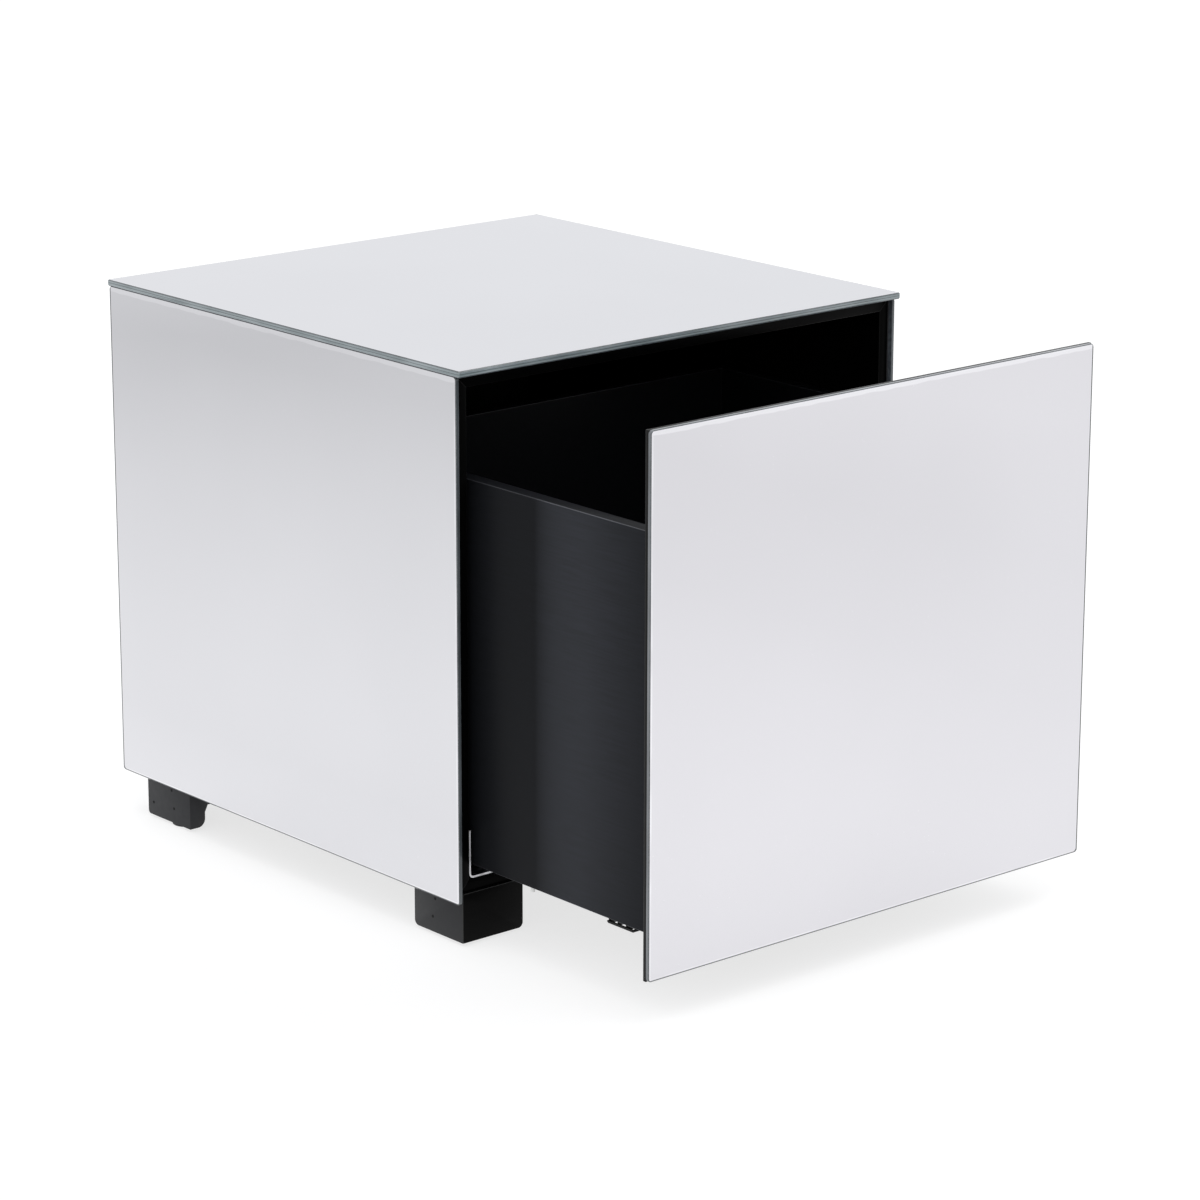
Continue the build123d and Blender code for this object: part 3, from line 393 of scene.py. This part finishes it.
def round_edges(bm, edges, radius, segments, **settings):
    bmesh.ops.bevel(
        bm, geom=edges, offset=radius, segments=segments, profile=0.5, affect="EDGES", **settings
    )


def softened(node, width, face, edge=None, shortest=4.0 * MM):
    """A copy of a node with its long sharp edges rounded, and a second material on the rounding if one is
    given: for the feet's blocks a lighter copy, which paints a sheen there.
    """
    bm = clean_copy(node)
    sharp = [
        e
        for e in bm.edges
        if e.is_manifold and e.calc_length() > shortest and abs(e.calc_face_angle()) > math.radians(50)
    ]
    round_edges(bm, sharp, width, 2, clamp_overlap=True, material=1 if edge else -1)
    materials = [face, edge] if edge else [face]
    return stand_in(mesh_from(bm, node, materials), node)


def prism(node, outline, axis, rounded, width, materials):
    """A board with a given outline across one axis, over the node's box along that axis.

    outline lists (u, v) points on the two other axes, in their order. rounded lists (place, radius)
    for edges to round more: place gives a value or None on each axis that the edge lies at. All
    other edges are eased by width, and take the second of the two materials.
    """
    low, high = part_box(node)
    u_axis, v_axis = [a for a in range(3) if a != axis]
    bm = bmesh.new()
    rings = []
    for level in (low[axis], high[axis]):
        ring = []
        for u, v in outline:
            place = [0.0, 0.0, 0.0]
            place[u_axis], place[v_axis], place[axis] = u, v, level
            ring.append(bm.verts.new(place))
        rings.append(ring)
    for index in range(len(outline)):
        after = (index + 1) % len(outline)
        bm.faces.new((rings[0][index], rings[0][after], rings[1][after], rings[1][index]))
    bm.faces.new(rings[0])
    bm.faces.new(rings[1])
    bmesh.ops.recalc_face_normals(bm, faces=bm.faces)
    for place, radius in rounded:
        edges = [
            e
            for e in bm.edges
            if all(p is None or all(abs(v.co[a] - p) < 1e-5 for v in e.verts) for a, p in enumerate(place))
        ]
        round_edges(bm, edges, radius, 8)
    sharp = [e for e in bm.edges if e.calc_face_angle() > math.radians(30)]
    round_edges(bm, sharp, width, 2, clamp_overlap=True, material=1)
    return stand_in(mesh_from(bm, node, materials), node)


def board(node, width, materials):
    """A plain board over the node's box, with its edges eased."""
    low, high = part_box(node)
    outline = [(low.x, low.y), (high.x, low.y), (high.x, high.y), (low.x, high.y)]
    return prism(node, outline, 2, (), width, materials)


def finish_by_facing(piece, facing, others):
    """Gives the faces that face front or back one material, by its number, and the rest another."""
    for polygon in piece.data.polygons:
        polygon.material_index = facing if abs(polygon.normal.y) > FACING else others


def loop_points(half_u, half_v, radius, steps=6):
    """Points of a rounded rectangle, anticlockwise."""
    points = []
    for quarter, (su, sv) in enumerate(((1, 1), (-1, 1), (-1, -1), (1, -1))):
        for step in range(steps + 1):
            angle = math.pi / 2 * (quarter + step / steps)
            u = su * (half_u - radius) + radius * math.cos(angle)
            v = sv * (half_v - radius) + radius * math.sin(angle)
            points.append((u, v))
    return points


SMALLEST_CORNER = 0.2 * MM


def pane(node, out_axis, out_sign, radius, stations, materials):
    """A pane built up in loops from its back to its face, over the box of a node.

    Each station is (depth from the back, inset from the outline, material of the band up to the
    next station). The back takes the first station's material and the face takes the last one's.
    """
    low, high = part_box(node)
    centre = (low + high) / 2
    half = (high - low) / 2
    u_axis, v_axis = [axis for axis in range(3) if axis != out_axis]
    bm = bmesh.new()
    loops = []
    for depth, inset, _ in stations:
        corner = max(radius - inset, SMALLEST_CORNER)
        ring = []
        for u, v in loop_points(half[u_axis] - inset, half[v_axis] - inset, corner):
            place = [0.0, 0.0, 0.0]
            place[u_axis] = centre[u_axis] + u
            place[v_axis] = centre[v_axis] + v
            place[out_axis] = centre[out_axis] + out_sign * (depth - half[out_axis])
            ring.append(bm.verts.new(place))
        loops.append(ring)
    for (_, _, material), ring, following in zip(stations, loops, loops[1:]):
        for index in range(len(ring)):
            after = (index + 1) % len(ring)
            face = bm.faces.new((ring[index], ring[after], following[after], following[index]))
            face.material_index = material
    bm.faces.new(loops[0]).material_index = stations[0][2]
    bm.faces.new(loops[-1]).material_index = stations[-1][2]
    return stand_in(mesh_from(bm, node, materials), node, 20.0)


def solids(node):
    """Boxes of the separate solids in a node, as (lowest corner, highest corner)."""
    bm = bmesh.new()
    bm.from_mesh(NODES[node].data)
    bmesh.ops.remove_doubles(bm, verts=bm.verts, dist=SAME_POINT)
    boxes = []
    left = set(bm.verts)
    while left:
        seed = left.pop()
        group = [seed]
        waiting = [seed]
        while waiting:
            for edge in waiting.pop().link_edges:
                for vert in edge.verts:
                    if vert in left:
                        left.remove(vert)
                        group.append(vert)
                        waiting.append(vert)
        low = Vector([min(v.co[axis] for v in group) for axis in range(3)])
        high = Vector([max(v.co[axis] for v in group) for axis in range(3)])
        boxes.append((low, high))
    bm.free()
    return sorted(boxes, key=lambda pair: tuple(round(c, 6) for c in pair[0]))


def frame_for(direction):
    """Rotation that turns +Z into a direction along one of the axes."""
    return Vector((0, 0, 1)).rotation_difference(Vector(direction)).to_matrix().to_4x4()


TURN_STEPS = 24


def lathe(bm, place, profile):
    """Adds a turned outline, closed at its tip. Gives back the ring of vertices at its far end.

    profile lists (radius, height) from the tip up. place turns +Z, the way the head faces, into
    the model.
    """
    rings = []
    for radius, height in profile:
        ring = []
        for step in range(TURN_STEPS):
            angle = math.tau * step / TURN_STEPS
            local = Vector((radius * math.cos(angle), radius * math.sin(angle), height))
            ring.append(bm.verts.new(place @ local))
        rings.append(ring)
    bm.faces.new(rings[0])
    for ring, following in zip(rings, rings[1:]):
        for index in range(TURN_STEPS):
            after = (index + 1) % TURN_STEPS
            bm.faces.new((ring[index], ring[after], following[after], following[index]))
    return rings[-1]


# The cross recess, as shares of the head's radius
CROSS_ARM = 0.55552
CROSS_HALF = 0.1488
CROSS_FLOOR = 0.7  # how much smaller its floor is than its mouth


def add_screw(bm, place, profile, head_r, recess_depth, turn):
    """Adds one screw: a turned outline from its tip to the rim of its head, and a cross recess."""
    head_ring = lathe(bm, place, profile)
    top = profile[-1][1]
    arm, half = CROSS_ARM * head_r, CROSS_HALF * head_r
    outline = []
    for quarter in range(4):
        spin = Matrix.Rotation(turn + quarter * math.pi / 2, 3, "Z")
        for x, y in ((arm, -half), (arm, half), (half, half)):
            outline.append(spin @ Vector((x, y, 0)))
    mouth = [bm.verts.new(place @ Vector((p.x, p.y, top))) for p in outline]
    depth = top - recess_depth
    floor = [bm.verts.new(place @ Vector((p.x * CROSS_FLOOR, p.y * CROSS_FLOOR, depth))) for p in outline]
    count = len(outline)
    for index in range(count):
        after = (index + 1) % count
        bm.faces.new((mouth[index], mouth[after], floor[after], floor[index]))
    bm.faces.new(floor)
    rim = [bm.edges.get((head_ring[i - 1], head_ring[i])) for i in range(TURN_STEPS)]
    lip = [bm.edges.get((mouth[i], mouth[(i + 1) % count])) for i in range(count)]
    bmesh.ops.triangle_fill(bm, edges=rim + lip, use_beauty=True)


PROUD = 0.12 * MM  # heads stand this far out of the boards, which have no holes here
SCREW_TIP_R = 0.3 * MM
SCREW_TAPER = 2.5 * MM
HEAD_RIM = 1.5 * MM  # a pan head is at least this much wider than the shank
SHANK_SHARE = 0.56  # a shank's greatest radius, as a share of the head's
COUNTERSUNK_LIP = 0.12 * MM
NAIL_TIP_R = 0.2 * MM
NAIL_TAPER = 3.0 * MM
NAIL_LIP = 0.15 * MM


def head_place(low, high, direction, length):
    """Where a fastener's head faces out: its place, with +Z turned to the direction."""
    head = (low + high) / 2 + direction * (length / 2 + PROUD)
    return Matrix.Translation(head) @ frame_for(direction)


def screws(node, direction_of, head_t, head_r, recess_depth, countersunk=False):
    """Stands for a group of screws. direction_of gives the way a head faces, from its middle."""
    bm = bmesh.new()
    for index, (low, high) in enumerate(solids(node)):
        direction = Vector(direction_of((low + high) / 2))
        axis = max(range(3), key=lambda a: abs(direction[a]))
        length = high[axis] - low[axis]
        if countersunk:
            shank = head_r / 2
            head = [(head_r, -COUNTERSUNK_LIP), (head_r, 0.0)]
        else:
            shank = min(head_r - HEAD_RIM, head_r * SHANK_SHARE)
            head = [
                (head_r, -head_t),
                (head_r, -head_t * 0.55),
                (head_r * 0.93, -head_t * 0.2),
                (head_r * 0.78, 0.0),
            ]
        profile = [(SCREW_TIP_R, -length), (shank, -length + SCREW_TAPER), (shank, -head_t), *head]
        turn = 0.4 * (index + 1) ** 2
        add_screw(bm, head_place(low, high, direction, length), profile, head_r, recess_depth, turn)
    return stand_in(mesh_from(bm, node, [steel_screw]), node)


def nails(node, direction_of, head_t, head_r, shank_r):
    """Stands for a group of flat-headed nails that lie along X."""
    bm = bmesh.new()
    for low, high in solids(node):
        direction = Vector(direction_of((low + high) / 2))
        length = high.x - low.x
        profile = [
            (NAIL_TIP_R, -length),
            (shank_r, -length + NAIL_TAPER),
            (shank_r, -head_t),
            (head_r, -head_t),
            (head_r, -NAIL_LIP),
            (head_r * 0.88, 0.0),
        ]
        bm.faces.new(lathe(bm, head_place(low, high, direction, length), profile))
    return stand_in(mesh_from(bm, node, [black_steel]), node)


# ---------------------------------------------------------------- mirror panes
FACE, ARRIS, EDGE, PAINT, EDGE_LINE = range(5)  # a pane's finishes, in the order of its materials
TOP_CORNER = 1.5 * MM
PANE_STATIONS = (
    (0.0, 0.15 * MM, PAINT),
    (0.25 * MM, 0.15 * MM, PAINT),
    (0.25 * MM, 0.0, EDGE),
    (2.35 * MM, 0.0, ARRIS),
    (3.0 * MM, 0.65 * MM, FACE),
)
# Two thin bands of the top pane's edge take the darkest edge tone, which paints two darker lines along it.
TOP_STATIONS = (
    (0.0, 0.5 * MM, PAINT),
    (0.3 * MM, 0.5 * MM, PAINT),
    (0.3 * MM, 0.45 * MM, EDGE_LINE),
    (0.8 * MM, 0.0, EDGE),
    (2.4 * MM, 0.0, EDGE_LINE),
    (2.8 * MM, 0.0, EDGE),
    (4.1 * MM, 0.0, ARRIS),
    (5.0 * MM, 0.9 * MM, FACE),
)

for node, axis, sign, edge in (
    ("left_side_mirror", 0, -1, shaded_glass_edge),
    ("right_side_mirror", 0, 1, shaded_glass_edge),
    ("drawer_front_mirror", 1, -1, half_shaded_glass_edge),
):
    pane(node, axis, sign, PANE_CORNER, PANE_STATIONS, [silver[node], glass_arris, edge, paint_back])
top_materials = [silver["top_mirror"], glass_arris, lit_glass_edge, paint_back, shaded_glass_edge]
pane("top_mirror", 2, 1, TOP_CORNER, TOP_STATIONS, top_materials)

# ---------------------------------------------------------------- boards and feet
# Each pair is the finish of a board's faces and that of its eased edges. For the carcass, the feet and the
# drawer the edge finish is a lighter copy, a painted sheen along the eased edges; for the back panel and
# the backing it is darker than the faces, a painted shade.
BLACK = (shaded_board_black, board_edge_sheen_and_shade)
PANEL_BLACK = (panel_black, board_edge_sheen_and_shade)
FOOT_BLACK = (foot_black, foot_edge_sheen)
FOOT_FRONT_SHADED = (foot_front_shaded, foot_edge_sheen)
FOIL = (foil, foil_edge_sheen)

CARCASS_EASE = 0.3 * MM
FOOT_EASE = 0.5 * MM
BLOCK_EASE = 0.4 * MM
GLIDE_EASE = 0.2 * MM
DRAWER_EASE = 0.5 * MM


def thickness(node, axis):
    low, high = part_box(node)
    return high[axis] - low[axis]


WALL_T = thickness("left_board", 0)
BASE_T = thickness("bottom_board", 2)
TOP_T = thickness("top_board", 2)

# The carcass boards are mitred at their ends.
for node, sign in (("left_board", -1), ("right_board", 1)):
    low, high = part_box(node)
    outer, inner = (low.x, high.x) if sign < 0 else (high.x, low.x)
    outline = [(outer, low.z), (outer, high.z), (inner, high.z - TOP_T), (inner, low.z + BASE_T)]
    prism(node, outline, 1, (), CARCASS_EASE, BLACK)
for node, sign in (("bottom_board", -1), ("top_board", 1)):
    low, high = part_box(node)
    outer, inner = (low.z, high.z) if sign < 0 else (high.z, low.z)
    outline = [(low.x, outer), (high.x, outer), (high.x - WALL_T, inner), (low.x + WALL_T, inner)]
    prism(node, outline, 1, (), CARCASS_EASE, BLACK)
board("back_panel", CARCASS_EASE, PANEL_BLACK)
# The backing's sides take the darker edge finish: painted shade.
finish_by_facing(board("drawer_front_backing", CARCASS_EASE, PANEL_BLACK), 0, 1)

FOOT_END_R = 4.5 * MM
FOOT_INNER_R = 7.0 * MM
FOOT_REAR_R = 3.0 * MM
FOOT_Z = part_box("foot_glides")[1].z

# The front feet are mitred at their corner; at the rear the cross board butts on the side board.
for foot in ("front_left", "front_right", "rear_left", "rear_right"):
    on_left = foot.endswith("left")
    side_low, side_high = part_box(f"{foot}_foot_side")
    cross_low, cross_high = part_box(f"{foot}_foot_cross")
    outer_x, inner_x = (side_low.x, side_high.x) if on_left else (side_high.x, side_low.x)
    far_x = cross_high.x if on_left else cross_low.x
    if foot.startswith("front"):
        corner_y, far_y, inner_y = side_low.y, side_high.y, cross_high.y
        side_joint, cross_joint = (inner_x, inner_y), (outer_x, corner_y)
        side_rounded = [((None, far_y, FOOT_Z), FOOT_END_R)]
        # The front feet's cross boards take the shaded copy of the paint.
        cross_finish = FOOT_FRONT_SHADED
    else:
        corner_y, far_y, inner_y = side_high.y, side_low.y, cross_low.y
        side_joint, cross_joint = (inner_x, corner_y), (inner_x, corner_y)
        side_rounded = [
            ((inner_x, None, FOOT_Z), FOOT_INNER_R),
            ((None, corner_y, FOOT_Z), FOOT_REAR_R),
        ]
        cross_finish = FOOT_BLACK
    side_outline = [(outer_x, corner_y), (outer_x, far_y), (inner_x, far_y), side_joint]
    prism(f"{foot}_foot_side", side_outline, 2, side_rounded, FOOT_EASE, FOOT_BLACK)
    cross_outline = [cross_joint, (far_x, corner_y), (far_x, inner_y), (inner_x, inner_y)]
    cross_rounded = [((far_x, None, FOOT_Z), FOOT_END_R)]
    prism(f"{foot}_foot_cross", cross_outline, 2, cross_rounded, FOOT_EASE, cross_finish)
softened("foot_blocks", BLOCK_EASE, foot_black, foot_edge_sheen, shortest=10.0 * MM)

drawer_side = board("drawer_left_side", DRAWER_EASE, FOIL)
for node in ("drawer_right_side", "drawer_inner_front", "drawer_back", "drawer_bottom"):
    board(node, DRAWER_EASE, FOIL)
softened("foot_glides", GLIDE_EASE, glide_plastic)

# ---------------------------------------------------------------- hardware
CLIP_EASE = 0.5 * MM
LEVER_EASE = 0.4 * MM

for side in ("left", "right"):
    for member in ("cabinet", "middle", "drawer"):
        finish_by_facing(clean_piece(f"{side}_{member}_profile", [steel, steel_cut]), 1, 0)
    softened(f"{side}_front_clip", CLIP_EASE, black_plastic)
    softened(f"{side}_clip_lever", LEVER_EASE, grey_plastic)


def inward(middle):
    return (1, 0, 0) if middle.x < 0 else (-1, 0, 0)


def outward(middle):
    return (-1, 0, 0) if middle.x < 0 else (1, 0, 0)


def rearward(middle):
    return (0, 1, 0)


def upward(middle):
    return (0, 0, 1)


def downward(middle):
    return (0, 0, -1)


screws("back_panel_screws", rearward, 1.4 * MM, 3.0 * MM, 1.0 * MM, countersunk=True)
screws("runner_screws", inward, 1.6 * MM, 3.6 * MM, 1.1 * MM)
screws("latch_screws", upward, 1.5 * MM, 3.25 * MM, 1.0 * MM)
screws("clip_screws", downward, 1.2 * MM, 3.0 * MM, 0.8 * MM)
screws("foot_screws", downward, 2.0 * MM, 3.9 * MM, 1.3 * MM)
nails("foot_nails", outward, 0.8 * MM, 1.3 * MM, 0.9 * MM)

# Everything else keeps the model's own shape.
for node, piece in NODES.items():
    if not piece.hide_render:
        piece.data.materials.clear()
        piece.data.materials.append(SLOT_MATERIAL[SLOT_OF[node]])

# ---------------------------------------------------------------- studio
FLOOR_HALF = 30.0
FLOOR_GLOW = 0.745
floor_mesh = bpy.data.meshes.new("studio_floor")
corners = [(-1, -1), (1, -1), (1, 1), (-1, 1)]
floor_mesh.from_pydata([(x * FLOOR_HALF, y * FLOOR_HALF, 0.0) for x, y in corners], [], [(0, 1, 2, 3)])
floor = bpy.data.objects.new("studio_floor", floor_mesh)
bpy.context.scene.collection.objects.link(floor)

# The floor glows like a lit sweep. Its glow is lower beside the table, behind it on the left and
# before it on the right, which are the places that the mirrors show.
g = Graph("studio_floor")
tone = g.mix(g.span(g.noise(900.0, 3.0), 0.3, 0.7), grey(0.27), grey(0.29))
floor_x, floor_y = g.axis("X"), g.axis("Y")
beside_left = g.span(floor_x, -0.24, -0.4, 0.0, 0.08)
behind_left = g.product(
    g.span(floor_x, -0.25, -1.35),
    g.span(floor_y, -0.6, 1.7, 0.0, 0.27),
    g.span(g.math("SUBTRACT", floor_y, floor_x), 3.2, 5.0, 1.0, 0.0),
)
before_right = g.product(
    g.span(floor_x, -0.1, 0.6),
    g.span(floor_y, -0.3, -1.4, 0.0, 0.125),
    g.span(floor_x, 0.95, 1.4, 1.0, 0.45),
    g.span(floor_y, -2.2, -3.6, 1.0, 0.0),
)
dimmed = g.math("ADD", beside_left, g.math("ADD", behind_left, before_right))
glow = g.math("SUBTRACT", FLOOR_GLOW, dimmed)
g.finish(tone, 0.85, Emission_Color=(1, 1, 1, 1), Emission_Strength=glow)
floor_mesh.materials.append(g.material)

SKY = (0.97, 0.98, 1.0, 1.0)
SKY_STRENGTH = 0.95
world = bpy.data.worlds.new("studio")
bpy.context.scene.world = world
world.use_nodes = True
world.node_tree.nodes["Background"].inputs["Color"].default_value = SKY
world.node_tree.nodes["Background"].inputs["Strength"].default_value = SKY_STRENGTH


def softbox(name, place, target, width, height, power, only_on=()):
    """An area light. only_on lists the pieces that it lights, if not all, and then without shine."""
    light = bpy.data.lights.new(name, "AREA")
    light.shape = "RECTANGLE"
    light.size = width
    light.size_y = height
    light.energy = power
    lamp = bpy.data.objects.new(name, light)
    lamp.location = place
    lamp.rotation_euler = (Vector(target) - Vector(place)).to_track_quat("-Z", "Y").to_euler()
    bpy.context.scene.collection.objects.link(lamp)
    if only_on:
        lit = bpy.data.collections.new(f"{name}_lit")
        for piece in only_on:
            lit.objects.link(piece)
        lamp.light_linking.receiver_collection = lit
        lamp.visible_glossy = False


softbox("overhead_softbox", (0.2, -0.2, 3.2), (0, 0, 0), width=3.2, height=3.2, power=60.0)
# The side mirror's front edge shades the back of the drawer's side from this one.
softbox(
    "rear_strip",
    (-0.8, 2.65, 0.3),
    (-0.2, -0.2, 0.2),
    width=0.4,
    height=0.7,
    power=2600.0,
    only_on=[drawer_side],
)

# ---------------------------------------------------------------- camera
CAMERA_PLACE = (-2.116, -2.474, 1.116)
CAMERA_YAW = math.radians(40.73)
CAMERA_PITCH = math.radians(15.57)
CAMERA_ROLL = math.radians(0.1)
SENSOR_WIDTH = 36.0
FOCAL_LENGTH = 127.45
FARTHEST_SEEN = 200.0

camera_data = bpy.data.cameras.new("camera")
camera_data.sensor_width = SENSOR_WIDTH
camera_data.lens = FOCAL_LENGTH
camera_data.clip_end = FARTHEST_SEEN
camera = bpy.data.objects.new("camera", camera_data)
bpy.context.scene.collection.objects.link(camera)
aim = Matrix.Rotation(-CAMERA_YAW, 4, "Z") @ Matrix.Rotation(math.pi / 2 - CAMERA_PITCH, 4, "X")
camera.matrix_world = Matrix.Translation(CAMERA_PLACE) @ aim @ Matrix.Rotation(CAMERA_ROLL, 4, "Z")
bpy.context.scene.camera = camera
bpy.context.scene.view_settings.view_transform = "Standard"
